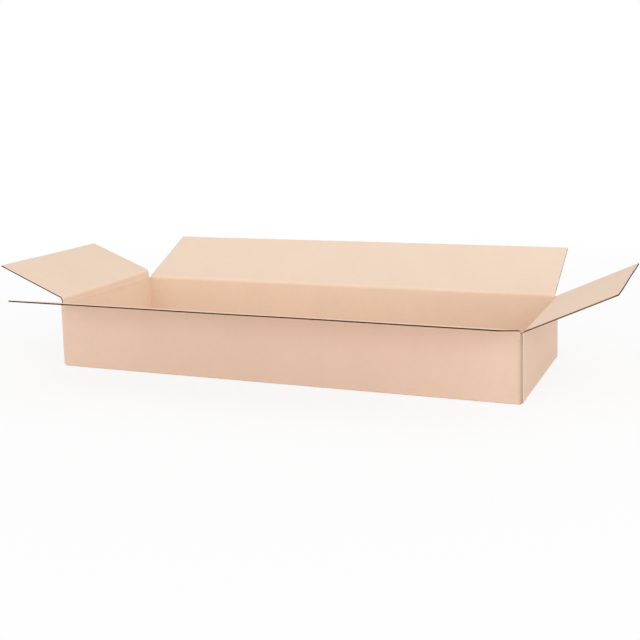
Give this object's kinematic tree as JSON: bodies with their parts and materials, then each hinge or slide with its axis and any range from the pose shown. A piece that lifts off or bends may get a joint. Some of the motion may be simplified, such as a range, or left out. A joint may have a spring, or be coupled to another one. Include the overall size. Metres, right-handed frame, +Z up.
{
  "type": "open corrugated cardboard shipping box",
  "caption": "Long, low corrugated shipping carton standing open, with hinged top flaps and a taped, closed bottom.",
  "frame": {"origin": "centre of the underside, on the tape that the carton stands on", "axes": "+X along the length to the right, -Y to the front, where the long wall shows, +Z up"},
  "size_m": [1.4612, 0.7766, 0.2372],
  "materials": {
    "kraft_board": "matt kraft paper, faintly ribbed",
    "paper_tape": "matt gummed kraft paper"
  },
  "bodies": {
    "carton": {"carton_body": "kraft_board", "bottom_tape": "paper_tape"},
    "front_flap": {"front_flap": "kraft_board"},
    "back_flap": {"back_flap": "kraft_board"},
    "left_flap": {"left_flap": "kraft_board"},
    "right_flap": {"right_flap": "kraft_board"}
  },
  "joints": [
    {"name": "front_crease", "type": "hinge", "parent": "carton", "child": "front_flap", "pos_m": [0, -0.2001, 0.1502], "axis": [1, 0, 0], "range_deg": [-167.5, 97.5]},
    {"name": "back_crease", "type": "hinge", "parent": "carton", "child": "back_flap", "pos_m": [0, 0.2001, 0.1502], "axis": [-1, 0, 0], "range_deg": [-155.5, 109.5]},
    {"name": "left_crease", "type": "hinge", "parent": "carton", "child": "left_flap", "pos_m": [-0.5501, 0, 0.1469], "axis": [0, -1, 0], "range_deg": [-154, 111]},
    {"name": "right_crease", "type": "hinge", "parent": "carton", "child": "right_flap", "pos_m": [0.5501, 0, 0.1469], "axis": [0, 1, 0], "range_deg": [-155.5, 109.5]}
  ]
}
